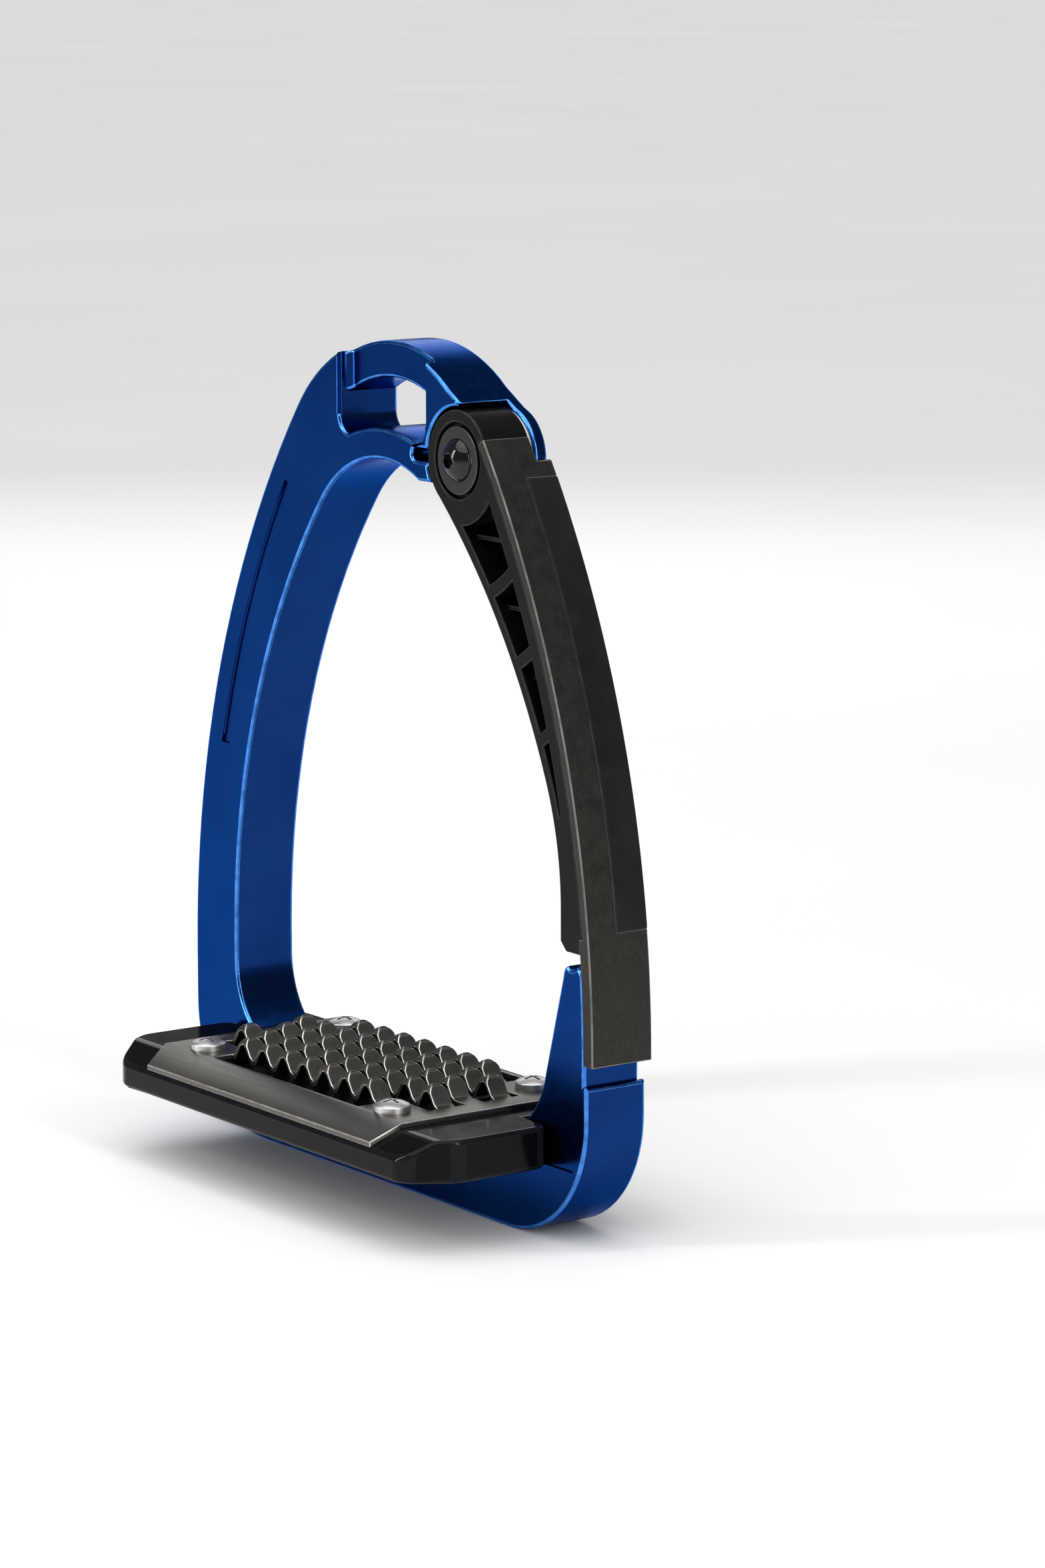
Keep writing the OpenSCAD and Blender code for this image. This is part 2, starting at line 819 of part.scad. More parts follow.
module pivot_screw() {
  head_h = 2.7;
  top = washer_back - washer_t;
  dome_r = 5.6;
  color("black")
  difference() {
    union() {
      intersection() {
        rod(pivot_head_d, pivot_x, pivot_z, top - head_h, top);
        translate([pivot_x, top - head_h + dome_r, pivot_z])
          sphere(r = dome_r);
      }
      rod(pivot_thread_d, pivot_x, pivot_z, top - 0.1, half_d - flange_t - 2);
    }
    slab(top - head_h - over, top - head_h + 1.6)
      translate([pivot_x, pivot_z])
        circle(d = 3.5, $fn = 6);
  }
}

module pivot_washer() {
  color("black")
  difference() {
    rod(cover_washer_d, pivot_x, pivot_z, washer_back - washer_t, washer_back);
    rod(pivot_thread_d + 0.2, pivot_x, pivot_z, washer_back - washer_t - over, washer_back + over);
  }
}

module thrust_washer() {
  color("ivory")
  difference() {
    rod(2 * eye_r - 1, pivot_x, pivot_z, half_d - cheek_t - thrust_t, half_d - cheek_t);
    rod(barrel_d + 2 * seat_gap, pivot_x, pivot_z, half_d - cheek_t - thrust_t - over, half_d);
  }
}

// a round wire swept through a list of points in the front view plane and depth
module coil(radius, wire_d, turns, lead, first_a, sides, steps) {
  n = ceil(turns * steps);
  rings = [for (i = [0:n]) let (a = first_a + i * 360 * turns / n)
            [for (j = [0:sides - 1]) let (b = 360 * j / sides, rr = radius + wire_d / 2 * cos(b))
              [rr * cos(a), i * lead * turns / n + wire_d / 2 * sin(b), rr * sin(a)]]];
  points = [for (r = rings) for (p = r) p];
  sides_f = [for (i = [0:n - 1]) for (j = [0:sides - 1]) let (k = (j + 1) % sides)
              [i * sides + j, (i + 1) * sides + j, (i + 1) * sides + k, i * sides + k]];
  ends_f = [[for (j = [0:sides - 1]) j], [for (j = [sides - 1:-1:0]) n * sides + j]];
  polyhedron(points, concat(sides_f, ends_f), convexity = 6);
}

module torsion_spring() {
  reach_out = pivot_x - spring_r - key_slot_end;
  color("gray")
  union() {
    translate([pivot_x, spring_start_y, pivot_z])
      coil(spring_r, spring_wire_d, spring_turns, spring_lead, 180, 10, 20);
    translate([key_slot_end, leg_y, pivot_z])
      rotate([0, 90, 0])
        cylinder(d = spring_wire_d, h = reach_out, $fn = 24);
    translate([pivot_x + spring_r, spring_start_y + spring_turns * spring_lead, pivot_z])
      rotate([0, 90, 0])
        cylinder(d = spring_wire_d, h = leg_bite, $fn = 24);
  }
}

// outside line of the arm, moved in by the given amount
module arm_disc_2d(inset) {
  translate([arm_cx, flank_level])
    circle(arm_flank_r - inset, $fn = arc_fn);
}

// what the curved inside of the arm takes away
module arm_hollow_2d(grow) {
  intersection() {
    translate(back_c)
      circle(back_r + grow, $fn = arc_fn);
    translate([-far, waist[1]])
      square([2 * far, far]);
  }
  intersection() {
    translate(calf_c)
      circle(calf_r + grow, $fn = arc_fn);
    translate([-far, -over])
      square([2 * far, waist[1] + over + 0.01]);
  }
}

module arm_outline_2d() {
  translate([pivot_x, pivot_z])
    circle(eye_r);
  difference() {
    intersection() {
      arm_disc_2d(0);
      polygon([[pivot_x, pivot_z], eye_point, waist, [foot_x, calf_z],
               [foot_x, arm_foot_height + 2], [foot_x + 2, arm_foot_height],
               [half_w + 2, arm_foot_height],
               [half_w + 2, pivot_z], [pivot_x + 30, pivot_z + 30 * tan(cover_angle + 4)]]);
    }
    arm_hollow_2d(0);
  }
}

// cover with the tongue that overlaps the post
module cover_2d() {
  difference() {
    intersection() {
      arm_disc_2d(0);
      polygon([[pivot_x, pivot_z],
               [pivot_x + 40, pivot_z + 40 * tan(cover_angle)],
               [half_w + 40, pivot_z], [half_w + 40, tongue_height],
               [half_w - 20, tongue_height], [half_w - 20, tongue_top + 10]]);
    }
    difference() {
      arm_disc_2d(cover_t);
      translate([0, -over])
        square([far, tongue_top + over]);
    }
    arm_disc_2d(tongue_t);
  }
}

module arm_pockets_2d() {
  difference() {
    intersection() {
      arm_disc_2d(cover_t + rail_t);
      translate([0, calf_z + 6])
        square([far, pivot_z - calf_z - 6]);
      union()
        for (i = [0:2:6])
          translate([pivot_x, pivot_z])
            difference() {
              circle(rib_r[i + 1], $fn = arc_fn);
              circle(rib_r[i], $fn = arc_fn);
            }
    }
    arm_hollow_2d(wall_t);
    translate([-far, 0])
      square([far + pivot_x - 4, 2 * far]);
  }
}

// level ribs that stand a little below the faces of the arm
module low_ribs_2d() {
  for (i = [0:2])
    translate([0, pivot_z - low_rib_first - i * low_rib_pitch])
      square([far, low_rib_t]);
}

// an upright bar with round ends, wide from front to back
module oblong(t, w, z0, z1) {
  translate([latch_x, 0, z0])
    linear_extrude(z1 - z0) {
      square([t, w - t], center = true);
      translate([0, (w - t) / 2])
        circle(d = t);
      translate([0, -(w - t) / 2])
        circle(d = t);
    }
}

module arm_body() {
  color("dimgray")
  difference() {
    slab(-half_d, half_d)
      difference() {
        arm_outline_2d();
        cover_2d();
      }
    for (m = [-1, 1])
      scale([1, m, 1]) {
        slab(half_d - rib_drop, half_d + over)
          arm_pockets_2d();
        slab(web_t / 2, half_d - rib_drop + 0.01)
          difference() {
            arm_pockets_2d();
            low_ribs_2d();
          }
      }
    slab(eye_back, half_d + over)
      rear_cut_2d();
    rod(cover_washer_d + 1.8, pivot_x, pivot_z, -half_d - over, -half_d + washer_seat);
    rod(bush_d, pivot_x, pivot_z, -half_d - over, half_d);
    rod(2 * cavity_r, pivot_x, pivot_z, cavity_front, half_d);
    slab(leg_y - spring_wire_d, half_d)
      leg_window_2d();
    translate([pivot_x, spring_start_y + spring_turns * spring_lead, pivot_z])
      rotate([0, 90, 0])
        cylinder(d = spring_wire_d + 0.3, h = spring_r + leg_bite + 0.4);
    oblong(plunger_t + guide_margin, plunger_w + guide_margin, arm_foot_height - over, bore_top);
    cover_pin_set(pin_d, pin_from, pin_to);
  }
}

// what the cheek needs behind the eye
module rear_cut_2d() {
  translate([pivot_x, pivot_z])
    circle(rear_cut_r);
  translate([0, pivot_z + 0.4])
    square([far, far]);
  translate([0, lip_z - socket_gap])
    square([pivot_x, far]);
}

// path of the fixed spring leg through the wall of the eye while the arm swings
module leg_window_2d() {
  reach = 20;
  slack = 10;
  translate([pivot_x, pivot_z])
    difference() {
      polygon([[0, 0], polar(reach, 180 + slack), polar(reach, 180), polar(reach, 180 - swing / 2),
               polar(reach, 180 - swing), polar(reach, 180 - swing - slack)]);
      circle(cavity_r - 0.5);
    }
}

module pivot_bush() {
  color("ivory")
  difference() {
    rod(bush_d, pivot_x, pivot_z, -half_d + washer_seat, eye_back);
    rod(barrel_d + 2 * bearing_gap, pivot_x, pivot_z, -half_d, half_d);
  }
}

module arm_cover() {
  color("slategray")
  difference() {
    slab(-half_d, half_d)
      cover_2d();
    slab(0, half_d + over)
      inlay_2d(over);
    slab(eye_back, half_d + over)
      rear_cut_2d();
    cover_pin_set(pin_d, pin_from, pin_to);
  }
}

module inlay_2d(proud) {
  intersection() {
    difference() {
      arm_disc_2d(-proud);
      arm_disc_2d(inlay_t);
    }
    translate([0, inlay_low])
      square([far, pivot_z - 3 - inlay_low]);
  }
}

module arm_inlay() {
  color("black")
  slab(0, half_d)
    inlay_2d(0);
}

module cover_pin_set(d, in0, in1) {
  for (z = [pivot_z - 17, (pivot_z + arm_foot_height) / 2, arm_foot_height + 19]) {
    a = asin((z - flank_level) / arm_flank_r);
    translate([arm_cx, -half_d / 2, flank_level])
      rotate([0, -a, 0])
        translate([arm_flank_r - in1, 0, 0])
          rotate([0, 90, 0])
            cylinder(d = d, h = in1 - in0);
  }
}

module cover_pins() {
  color("silver")
  cover_pin_set(pin_d, pin_from + pin_end_gap, pin_to - pin_end_gap);
}

module latch_guide() {
  color("ivory")
  difference() {
    oblong(plunger_t + guide_margin, plunger_w + guide_margin, arm_foot_height, arm_foot_height + guide_h);
    oblong(plunger_t + latch_play, plunger_w + latch_play, arm_foot_height - over, arm_foot_height + guide_h + over);
  }
}

module latch_plunger() {
  color("silver")
  union() {
    intersection() {
      oblong(plunger_t, plunger_w, nose_z - over, head_low + 0.1);
      union() {
        rod(plunger_t, latch_x, nose_z + nose_r, -plunger_w, plunger_w);
        translate([latch_x - plunger_t, -plunger_w, nose_z + nose_r])
          cube([2 * plunger_t, 2 * plunger_w, far]);
      }
    }
    oblong(plunger_t + 0.9, plunger_w + 0.9, head_low, head_high);
  }
}

module latch_spring() {
  color("gray")
  translate([latch_x, 0, head_high + 0.25])
    rotate([90, 0, 0])
      coil(1.45, 0.5, 6, (bore_top - head_high - 0.55) / 6, 0, 8, 16);
}

module stop_pad_2d(proud) {
  intersection() {
    difference() {
      translate([arm_cx, flank_level])
        circle(post_r + proud, $fn = arc_fn);
      translate([arm_cx, flank_level])
        circle(post_r - pad_t, $fn = arc_fn);
    }
    translate([0, pad_low])
      square([far, pad_high - pad_low]);
  }
}

module stop_pad_pocket() {
  slab(-pad_w / 2, pad_w / 2)
    stop_pad_2d(over);
}

module stop_pad() {
  color("black")
  slab(-pad_w / 2, pad_w / 2)
    stop_pad_2d(pad_proud);
}

frame();
tray();
grip_plate();
plate_screws();
plate_inserts();
tray_bolts();
tray_washers();
pivot_barrel();
pivot_screw();
pivot_washer();
thrust_washer();
torsion_spring();
arm_body();
pivot_bush();
arm_cover();
arm_inlay();
cover_pins();
latch_guide();
latch_plunger();
latch_spring();
stop_pad();
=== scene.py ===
# %% [markdown]
# # A safety stirrup iron
# A rider's foot rests on the footbed, and a leather strap runs through the slot at the top. In a
# fall the outer arm swings out, so the foot comes free. The design (arch, arm, hinge, latch) comes
# from the CAD frame. This lesson gives it real edges, real surfaces, light and a camera.
# The first cell loads the frame and keeps its box, because looks must never change a size.

# %% Load the frame
import json
import math

import bmesh
import bpy
from mathutils import Matrix, Vector
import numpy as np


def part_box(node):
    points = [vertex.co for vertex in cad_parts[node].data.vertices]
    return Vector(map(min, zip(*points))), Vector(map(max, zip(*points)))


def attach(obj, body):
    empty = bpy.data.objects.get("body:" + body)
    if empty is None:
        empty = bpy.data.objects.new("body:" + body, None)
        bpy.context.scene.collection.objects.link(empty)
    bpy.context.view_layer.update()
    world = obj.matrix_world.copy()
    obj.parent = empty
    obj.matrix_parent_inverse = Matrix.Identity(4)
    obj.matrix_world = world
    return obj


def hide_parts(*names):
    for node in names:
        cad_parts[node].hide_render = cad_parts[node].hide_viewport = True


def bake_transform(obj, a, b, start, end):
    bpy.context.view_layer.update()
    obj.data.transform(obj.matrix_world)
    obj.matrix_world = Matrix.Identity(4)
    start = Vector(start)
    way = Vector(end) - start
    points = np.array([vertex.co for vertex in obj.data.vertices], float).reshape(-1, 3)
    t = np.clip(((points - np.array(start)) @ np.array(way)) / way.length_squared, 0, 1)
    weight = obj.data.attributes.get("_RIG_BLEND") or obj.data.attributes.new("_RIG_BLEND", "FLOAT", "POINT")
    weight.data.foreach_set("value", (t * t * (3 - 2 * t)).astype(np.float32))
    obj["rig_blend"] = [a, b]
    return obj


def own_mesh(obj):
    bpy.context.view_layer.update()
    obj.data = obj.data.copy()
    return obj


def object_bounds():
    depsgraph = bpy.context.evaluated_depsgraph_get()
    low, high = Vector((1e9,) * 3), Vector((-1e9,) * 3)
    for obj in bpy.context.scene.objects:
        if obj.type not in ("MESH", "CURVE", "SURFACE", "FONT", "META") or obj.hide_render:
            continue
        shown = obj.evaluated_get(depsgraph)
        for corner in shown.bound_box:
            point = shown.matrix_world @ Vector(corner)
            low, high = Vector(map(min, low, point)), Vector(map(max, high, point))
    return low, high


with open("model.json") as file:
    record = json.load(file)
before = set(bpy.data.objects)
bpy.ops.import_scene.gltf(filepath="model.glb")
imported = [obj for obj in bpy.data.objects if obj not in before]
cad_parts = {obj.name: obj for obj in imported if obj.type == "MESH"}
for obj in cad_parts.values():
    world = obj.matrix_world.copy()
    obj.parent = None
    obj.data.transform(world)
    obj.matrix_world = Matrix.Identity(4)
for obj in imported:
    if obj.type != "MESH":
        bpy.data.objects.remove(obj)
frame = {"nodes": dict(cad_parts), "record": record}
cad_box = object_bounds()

MM = 0.001
nodes = frame["nodes"]

# %% [markdown]
# ## Procedural surfaces
# A real surface is never one flat colour. Anodised metal has a fine grain from blasting, polished
# edges are brighter where hands and leather rub them, and plastic has a soft orange peel. On the
# blue frame the lighter edges are partly that rubbing and partly a painted highlight. All of it
# can be made from noise that reads Object coordinates, so it stays with the piece when it moves.
# A few small helpers keep each recipe short: one makes a node and wires its inputs, the others are
# the three things that every recipe needs, which are noise, a colour ramp and a bump.


# %% Helpers for materials
def shader(name):
    material = bpy.data.materials.new(name)
    material.use_nodes = True
    tree = material.node_tree
    return material, tree, tree.nodes["Principled BSDF"]


def node(tree, kind, inputs=None, **settings):
    made = tree.nodes.new(kind)
    for key, value in settings.items():
        setattr(made, key, value)
    for key, value in (inputs or {}).items():
        if isinstance(value, bpy.types.NodeSocket):
            tree.links.new(value, made.inputs[key])
        else:
            made.inputs[key].default_value = value
    return made


def place(tree, stretch=(1, 1, 1), turn=(0, 0, 0)):
    where = node(tree, "ShaderNodeTexCoord")
    mapping = node(tree, "ShaderNodeMapping", {"Vector": where.outputs["Object"], "Scale": stretch,
                                               "Rotation": turn})
    return mapping.outputs["Vector"]


def noise(tree, vector, scale, detail=4, rough=0.55):
    made = node(tree, "ShaderNodeTexNoise",
                {"Vector": vector, "Scale": scale, "Detail": detail, "Roughness": rough})
    return made.outputs["Fac"]


def ramp(tree, factor, stops):
    made = node(tree, "ShaderNodeValToRGB", {"Fac": factor})
    elements = made.color_ramp.elements
    while len(elements) < len(stops):
        elements.new(0.5)
    for element, (position, colour) in zip(elements, stops):
        element.position = position
        element.color = (*colour, 1)
    return made.outputs["Color"]


def grey(value):
    return (value, value, value)


def blend_colours(tree, factor, low, high):
    made = node(tree, "ShaderNodeMix", data_type="RGBA")
    for socket, value in ((made.inputs[0], factor), (made.inputs[6], low), (made.inputs[7], high)):
        if isinstance(value, bpy.types.NodeSocket):
            tree.links.new(value, socket)
        elif isinstance(value, tuple):
            socket.default_value = (*value, 1)
        else:
            socket.default_value = value
    return made.outputs[2]


def bump(tree, height, strength, distance, under=None):
    inputs = {"Height": height, "Strength": strength, "Distance": distance}
    if under is not None:
        inputs["Normal"] = under
    return node(tree, "ShaderNodeBump", inputs).outputs["Normal"]


def wire(tree, shader_node, **sockets):
    for key, value in sockets.items():
        name = key.replace("_", " ").title().replace("Ior", "IOR")
        if isinstance(value, bpy.types.NodeSocket):
            tree.links.new(value, shader_node.inputs[name])
        else:
            shader_node.inputs[name].default_value = value


def wear_and_highlight_edge(tree, vector, scale=260):
    """A mask, up to 1 on the bevelled edges, for rubbed wear and for a painted edge highlight; noise breaks
    it up as real rubbing does.
    """
    edge = node(tree, "ShaderNodeAttribute", attribute_name="wear_and_highlight").outputs["Fac"]
    patches = ramp(tree, noise(tree, vector, scale, 5), [(0.36, grey(0.5)), (0.6, grey(1.0))])
    return node(tree, "ShaderNodeMath", {0: edge, 1: patches}, operation="MULTIPLY").outputs[0]


# %% [markdown]
# ## The blue of the frame
# The frame is an aluminium casting, blasted, polished and dyed blue. Dyed oxide over bright metal
# looks like coloured metal under a clear coat: a metallic shader with a blue base gives the deep
# body, and a thin coat gives small white highlights on top. A metal turns white when it is seen at a
# low angle, but the dye keeps that sheen blue, so it is tinted. The bevelled edges are painted a
# lighter blue, partly as rubbed wear and partly as a painted highlight for the bright edge lines.

# %% Anodised blue
def anodised_blue():
    material, tree, surface = shader("anodised_blue")
    spot = place(tree)
    cloud = ramp(tree, noise(tree, spot, 38, 3),
                 [(0.3, (0.004, 0.029, 0.15)), (0.7, (0.006, 0.04, 0.195))])
    # Lighter blue on the bevelled edges: partly rubbed wear, partly a painted highlight.
    colour = blend_colours(tree, wear_and_highlight_edge(tree, spot), cloud, (0.07, 0.27, 0.8))
    satin = ramp(tree, noise(tree, spot, 420, 6), [(0.3, grey(0.2)), (0.75, grey(0.29))])
    grain = bump(tree, noise(tree, spot, 2600, 2), 0.03, 0.0002)
    waves = bump(tree, noise(tree, spot, 60, 2), 0.04, 0.0006, grain)
    wire(tree, surface, base_color=colour, metallic=1.0, roughness=satin, normal=waves,
         specular_tint=(0.45, 0.58, 1, 1), coat_weight=0.03, coat_roughness=0.08)
    return material


# %% [markdown]
# ## Black metals and plastics
# Four blacks sit side by side on this iron, and they only read as different things because of their
# gloss and grain: a wet looking moulded tray, a satin arm, a bead blasted inlay and a polished screw.
# One recipe with a few values makes them all, and the rubber pad too, so they are easy to compare.

# %% Blacks
def black(name, colour, low, high, grain_scale, grain, metallic=0.0, shine=0.25, rubbed=(0.1, 0.1, 0.1)):
    material, tree, surface = shader(name)
    spot = place(tree)
    dusty = tuple(c * 1.9 for c in colour)
    dust = ramp(tree, noise(tree, spot, 55, 6, 0.65), [(0.42, colour), (0.8, dusty)])
    tone = blend_colours(tree, wear_and_highlight_edge(tree, spot), dust, rubbed)
    satin = ramp(tree, noise(tree, spot, 140, 5), [(0.3, grey(low)), (0.72, grey(high))])
    skin = bump(tree, noise(tree, spot, grain_scale, 3), grain, 0.0003)
    wire(tree, surface, base_color=tone, metallic=metallic, roughness=satin, normal=skin,
         specular_ior_level=shine)
    return material


# %% [markdown]
# ## Grained bronze grey
# The cover on the outside of the arm is cast and then tumbled: short fine scratches along its
# length, small dark pits and edges worn to bright metal. Noise that is squeezed along the arm's
# length gives the scratches, and a second, round noise gives the pits.

# %% Cover finish
def tumbled_grey():
    material, tree, surface = shader("tumbled_grey")
    spot = place(tree)
    lines = noise(tree, place(tree, (1, 1, 0.1), (0, 0.2, 0)), 2600, 3)
    pits = noise(tree, spot, 2200, 4, 0.7)
    tone = ramp(tree, pits, [(0.3, (0.022, 0.021, 0.019)), (0.52, (0.033, 0.031, 0.028)),
                             (0.8, (0.047, 0.045, 0.04))])
    scratches = ramp(tree, lines, [(0.45, grey(0)), (0.8, grey(0.4))])
    streak = blend_colours(tree, scratches, tone, (0.055, 0.052, 0.047))
    colour = blend_colours(tree, wear_and_highlight_edge(tree, spot, 180), streak, (0.2, 0.19, 0.17))
    satin = ramp(tree, noise(tree, spot, 300, 5), [(0.3, grey(0.36)), (0.72, grey(0.52))])
    rough_skin = bump(tree, pits, 0.12, 0.0002)
    wire(tree, surface, base_color=colour, metallic=0.85, roughness=satin,
         normal=bump(tree, lines, 0.08, 0.0002, rough_skin))
    return material


# %% [markdown]
# ## Steel, brass and bearing plastic
# The grip plate is stamped from rolled sheet. Rolling leaves long faint lines along the sheet, and
# the tooth tips are polished by boot soles. Turned parts carry rings instead, which a wave around
# the part's own axis would give, but at this size a fine even noise looks the same.

# %% Steels
def rolled_steel(name, dark, light, low, high, rubbed, stretch=(0.06, 1, 1)):
    material, tree, surface = shader(name)
    spot = place(tree)
    lines = noise(tree, place(tree, stretch), 1400, 4)
    stain = noise(tree, spot, 45, 5, 0.6)
    tone = ramp(tree, stain, [(0.3, dark), (0.7, light)])
    fine = blend_colours(tree, ramp(tree, lines, [(0.3, grey(0)), (0.8, grey(0.45))]), tone, light)
    colour = blend_colours(tree, wear_and_highlight_edge(tree, spot, 320), fine, rubbed)
    satin = ramp(tree, lines, [(0.25, grey(low)), (0.75, grey(high))])
    wire(tree, surface, base_color=colour, metallic=1.0, roughness=satin,
         normal=bump(tree, lines, 0.04, 0.0001))
    return material


def moulded(name, colour, roughness):
    material, tree, surface = shader(name)
    spot = place(tree)
    tone = ramp(tree, noise(tree, spot, 90, 4), [(0.3, tuple(c * 0.85 for c in colour)), (0.7, colour)])
    satin = ramp(tree, noise(tree, spot, 500, 3), [(0.3, grey(roughness)), (0.7, grey(roughness + 0.15))])
    wire(tree, surface, base_color=tone, roughness=satin,
         normal=bump(tree, noise(tree, spot, 1800, 2), 0.1, 0.0002))
    return material


EVEN = (1, 1, 1)
finishes = {
    "frame_blue": anodised_blue(),
    "tray_black": black("moulded_gloss_black", (0.002, 0.002, 0.0023), 0.1, 0.16, 240, 0.02,
                        shine=0.1, rubbed=(0.008, 0.008, 0.009)),
    "arm_black": black("satin_black", (0.003, 0.003, 0.0031), 0.3, 0.42, 1500, 0.08,
                       shine=0.09, rubbed=(0.03, 0.03, 0.031)),
    "inlay_black": black("blasted_black", (0.006, 0.006, 0.006), 0.34, 0.46, 1900, 0.12,
                         shine=0.2, rubbed=(0.02, 0.02, 0.02)),
    "black_steel": black("polished_black_steel", (0.006, 0.006, 0.0065), 0.07, 0.13, 700, 0.01,
                         metallic=0.2, shine=0.5, rubbed=(0.06, 0.06, 0.06)),
    "pad_rubber": black("pad_rubber", (0.01, 0.01, 0.01), 0.6, 0.8, 900, 0.2,
                        rubbed=(0.02, 0.02, 0.02)),
    "cover_grey": tumbled_grey(),
    "plate_steel": rolled_steel("rolled_plate_steel", (0.105, 0.099, 0.09), (0.145, 0.137, 0.124),
                                0.33, 0.43, (0.62, 0.6, 0.56)),
    "screw_steel": rolled_steel("bright_screw_steel", (0.5, 0.49, 0.47), (0.58, 0.57, 0.55),
                                0.34, 0.42, (0.85, 0.84, 0.82), (0.4, 0.4, 0.4)),
    "hidden_steel": rolled_steel("plain_steel", (0.3, 0.3, 0.31), (0.42, 0.42, 0.42),
                                 0.3, 0.45, (0.6, 0.6, 0.6), EVEN),
    "spring_steel": rolled_steel("drawn_spring_steel", (0.36, 0.36, 0.37), (0.5, 0.5, 0.5),
                                 0.22, 0.36, (0.6, 0.6, 0.6), EVEN),
    "insert_brass": rolled_steel("turned_brass", (0.5, 0.34, 0.11), (0.66, 0.47, 0.18),
                                 0.25, 0.38, (0.8, 0.62, 0.3), EVEN),
    "bearing_plastic": moulded("bearing_plastic", (0.72, 0.69, 0.6), 0.42),
}
print("finishes", len(finishes))

# %% [markdown]
# ## Giving CAD shapes real edges
# A CAD edge has no width, so it catches no light, and that is what makes a render look fake. Every
# real edge is rounded a little. A copy of each visible CAD node is merged into one clean skin, its
# flat faces are joined, and then each outward edge is bevelled. The new faces are marked, so the
# materials know where hands and leather polish the metal and where to paint a highlight on the
# edges. The CAD node itself stays unchanged.

# %% Eased copies
slots = {part["node"]: part["material_slot"] for part in frame["record"]["subparts"]}
bodies = frame["record"]["behaviour"]["bodies"]
body_of = {name: body for body, members in bodies.items() for name in members}
MERGE = 0.03 * MM
FLAT = math.radians(0.3)
CREASE = math.radians(40)
ROOM = 1.6


def merged_copy(source):
    form = bmesh.new()
    form.from_mesh(nodes[source].data)
    bmesh.ops.remove_doubles(form, verts=form.verts, dist=MERGE)
    bmesh.ops.dissolve_limit(form, angle_limit=FLAT, verts=form.verts, edges=form.edges)
    # This layer marks the bevels for rubbed wear and for a painted edge highlight.
    form.loops.layers.float.new("wear_and_highlight")
    return form


def bevel(form, edges, width, segments):
    # Narrow edges would shrink every other bevel, so the width is not clamped to them.
    made = bmesh.ops.bevel(form, geom=edges, offset=width * MM, offset_type="OFFSET", segments=segments,
                           profile=0.5, affect="EDGES", clamp_overlap=False, material=-1)
    # The bevel faces get the mask for rubbed wear and for a painted edge highlight.
    wear_and_highlight = form.loops.layers.float["wear_and_highlight"]
    for face in made["faces"]:
        for loop in face.loops:
            loop[wear_and_highlight] = 1.0


def outward(form, sharp):
    turn = math.radians(sharp)
    return [edge for edge in form.edges
            if len(edge.link_faces) == 2 and edge.is_convex and edge.calc_face_angle() > turn]


def room(edge):
    """How far the narrower of the two faces reaches away from this edge."""
    return min(face.calc_area() for face in edge.link_faces) / max(edge.calc_length(), MERGE)


def ease(form, width, sharp, segments):
    wide = [edge for edge in outward(form, sharp) if room(edge) > ROOM * width * MM]
    bevel(form, wide, width, segments)


def finish_piece(form, name, source, rides=True):
    mesh = bpy.data.meshes.new(name)
    form.to_mesh(mesh)
    form.free()
    mesh.polygons.foreach_set("use_smooth", [True] * len(mesh.polygons))
    mesh.set_sharp_from_angle(angle=CREASE)
    piece = bpy.data.objects.new(name, mesh)
    bpy.context.scene.collection.objects.link(piece)
    piece.data.materials.append(finishes[slots[source]])
    normals = piece.modifiers.new("even_normals", "WEIGHTED_NORMAL")
    normals.keep_sharp = True
    normals.weight = 100
    if rides:
        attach(piece, body_of[source])
    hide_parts(source)
    print(name, len(mesh.polygons), "faces")
    return piece


def eased(source, name, width, sharp=28, segments=3):
    form = merged_copy(source)
    ease(form, width, sharp, segments)
    return finish_piece(form, name, source)


eased("frame", "blue_frame", 0.7, 28, 4)


# %% [markdown]
# ## The moulded tray
# A moulded tray has no tight corners, because plastic must flow round them and leave the mould. Its
# upright corners are rounded first, with a wide bevel, and the other edges get a smaller one after
# it, so the two meet as they do on a real moulding.

# %% Tray
TRAY_CORNERS = ((45, 3.4), (25, 1.8))
TRAY_CORNER_STEPS = 6
TRAY_EDGE = 1.0
TRAY_SHARP = 20
TALL = 4 * MM
UPRIGHT = 0.99
END_SHARE = 0.85


def tray_corners(form, sharp):
    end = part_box("tray")[1].x * END_SHARE
    return [edge for edge in outward(form, sharp)
            if abs(edge.verts[0].co.z - edge.verts[1].co.z) > UPRIGHT * edge.calc_length()
            and edge.calc_length() > TALL and abs(edge.verts[0].co.x) > end]


def moulded_tray():
    form = merged_copy("tray")
    for sharp, width in TRAY_CORNERS:
        bevel(form, tray_corners(form, sharp), width, TRAY_CORNER_STEPS)
    bevel(form, outward(form, TRAY_SHARP), TRAY_EDGE, 4)
    return finish_piece(form, "moulded_tray", "tray")


moulded_tray()

# %% [markdown]
# ## The other visible pieces
# The width of an edge tells how a piece was made. Sheet and screws keep a tight edge, because they
# are cut or turned. Cast pieces, such as the arm and its cover, are tumbled and get a wider one.

# %% Edges of the other pieces
eased("grip_plate", "toothed_plate", 0.18, 34, 2)
eased("plate_screws", "plate_screw_set", 0.08, 40, 2)
eased("arm_body", "arm_casting", 0.35)
eased("arm_cover", "arm_outside_cover", 0.3)
eased("arm_inlay", "cover_inlay", 0.12, 34, 2)
eased("pivot_screw", "domed_hinge_screw", 0.2, 34, 2)
eased("pivot_washer", "hinge_cover_washer", 0.2, 34, 2)
eased("pivot_barrel", "hinge_barrel", 0.25, 34, 2)
eased("latch_plunger", "latch_peg", 0.3, 34, 2)

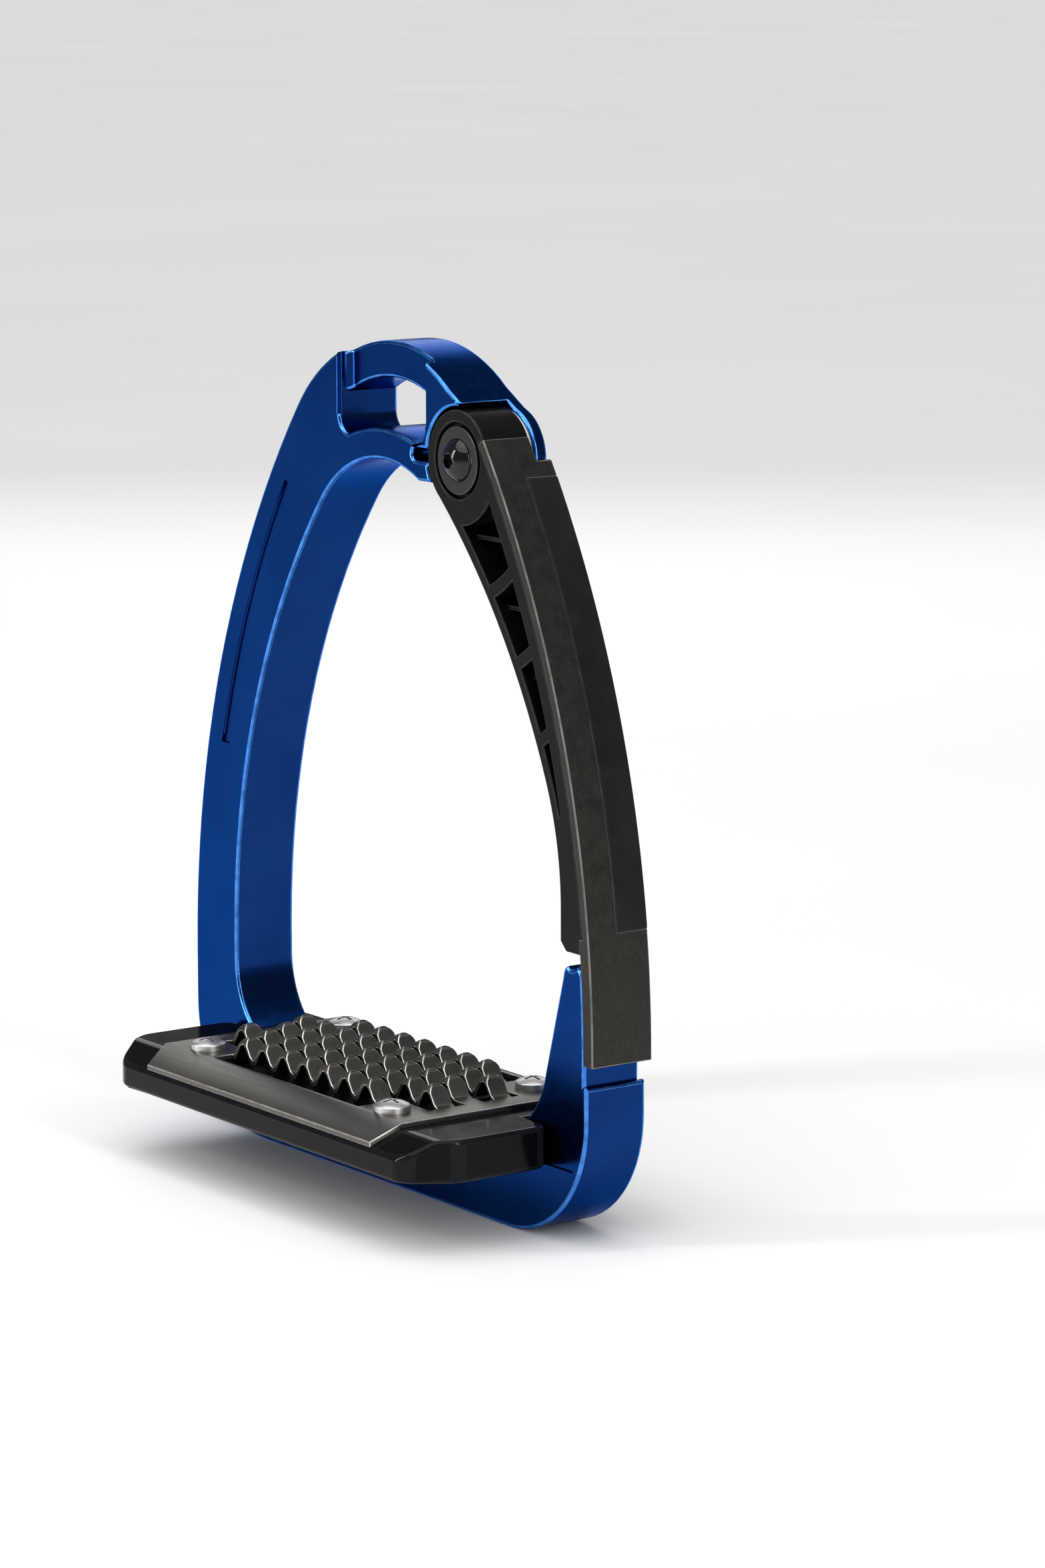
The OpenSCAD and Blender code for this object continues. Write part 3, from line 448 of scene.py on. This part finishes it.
# %% [markdown]
# ## Springs that follow the motion
# A spring is fixed at one end and driven at the other. The closing spring is wound round the hinge:
# one leg stays in the frame and the other turns with the arm, so its coils turn a little more each
# time along the hinge's axis. The turning starts and ends one wire inside the coil, so that both
# legs stay stiff. The latch spring stands on the latch and moves with its body as one rigid piece.

# %% Springs
joints = {joint["name"]: joint for joint in frame["record"]["behaviour"]["joints"]}
WIRE = 1.4 * MM

coil_low, coil_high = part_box("torsion_spring")
hinge = Vector(joints["arm_hinge"]["pos_m"])
closing_spring = finish_piece(merged_copy("torsion_spring"), "closing_spring", "torsion_spring",
                              rides=False)
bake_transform(closing_spring, "iron", "arm",
         (hinge.x, coil_low.y + WIRE, hinge.z), (hinge.x, coil_high.y - WIRE, hinge.z))

latch_coil = finish_piece(merged_copy("latch_spring"), "latch_coil", "latch_spring")
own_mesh(latch_coil)

# %% [markdown]
# ## The pieces inside
# Bushes, inserts, pins and bolts hardly show, and their CAD shapes are right as they are. They
# keep their CAD mesh and only get the finish that the real ones have.

# %% Finishes on the other nodes
for name, piece in nodes.items():
    piece.data.materials.clear()
    piece.data.materials.append(finishes[slots[name]])

# %% [markdown]
# ## Floor, light and camera
# A product picture needs a plain pale floor and soft light. Polished black and dyed metal only show
# what they reflect, so most of the light comes from a wide soft sky that lights the floor evenly.
# Two tall narrow panels draw the bright lines on the rounded edges, and a wide one behind lights
# the tops. A long lens from more than a metre away keeps the shape natural.

# %% Stage
def floor_material():
    material, tree, surface = shader("pale_paper")
    spot = place(tree)
    tone = ramp(tree, noise(tree, spot, 3, 3), [(0.3, grey(0.8)), (0.7, grey(0.83))])
    wire(tree, surface, base_color=tone, roughness=0.9,
         normal=bump(tree, noise(tree, spot, 700, 2), 0.03, 0.0003))
    return material


FLOOR_RADIUS = 12
sheet = bmesh.new()
bmesh.ops.create_circle(sheet, cap_ends=True, radius=FLOOR_RADIUS, segments=96)
floor_mesh = bpy.data.meshes.new("floor")
sheet.to_mesh(floor_mesh)
sheet.free()
floor = bpy.data.objects.new("floor", floor_mesh)
floor.location.z = cad_box[0][2]
floor_mesh.materials.append(floor_material())
bpy.context.scene.collection.objects.link(floor)

world = bpy.data.worlds.new("studio")
world.use_nodes = True
world.node_tree.nodes["Background"].inputs["Color"].default_value = (0.93, 0.94, 0.96, 1)
world.node_tree.nodes["Background"].inputs["Strength"].default_value = 0.15
bpy.context.scene.world = world

aim = Vector((0, -0.01, 0.085))


def panel(name, place_at, size, power, target=aim):
    light = bpy.data.lights.new(name, "AREA")
    light.shape = "RECTANGLE"
    light.size, light.size_y = size
    light.energy = power
    lamp = bpy.data.objects.new(name, light)
    lamp.location = place_at
    lamp.rotation_euler = (target - Vector(place_at)).to_track_quat("-Z", "Y").to_euler()
    bpy.context.scene.collection.objects.link(lamp)


panel("top_panel", (0.1, -0.25, 1.2), (0.7, 0.7), 1)
panel("left_panel", (-0.3, -0.8, 0.36), (0.09, 0.7), 4)
panel("right_panel", (0.95, -0.02, 0.36), (0.09, 0.7), 4)
panel("back_panel", (-0.9, 0.65, 0.62), (1.0, 0.5), 2.5)

SKY_POWER = 2.5
SKY_WIDTH = math.radians(80)
sun_data = bpy.data.lights.new("sky", "SUN")
sun_data.energy = SKY_POWER
sun_data.angle = SKY_WIDTH
sun = bpy.data.objects.new("sky", sun_data)
sun.rotation_euler = (math.radians(12), math.radians(8), 0)
bpy.context.scene.collection.objects.link(sun)
bpy.context.scene.view_settings.view_transform = "Standard"

# %% Camera
LENS = 119.3
CAMERA_AT = Vector((0.925, -0.635, 0.285))
LOOK = Vector((-0.800, 0.575, -0.1725))

camera_data = bpy.data.cameras.new("camera")
camera_data.lens = LENS
camera_data.sensor_width = 36
camera_data.clip_start = 0.05
camera = bpy.data.objects.new("camera", camera_data)
forward = LOOK.normalized()
right = forward.cross(Vector((0, 0, 1))).normalized()
up = right.cross(forward)
turn = Matrix((right, up, -forward)).transposed().to_4x4()
camera.matrix_world = Matrix.Translation(CAMERA_AT) @ turn
bpy.context.scene.collection.objects.link(camera)
bpy.context.scene.camera = camera
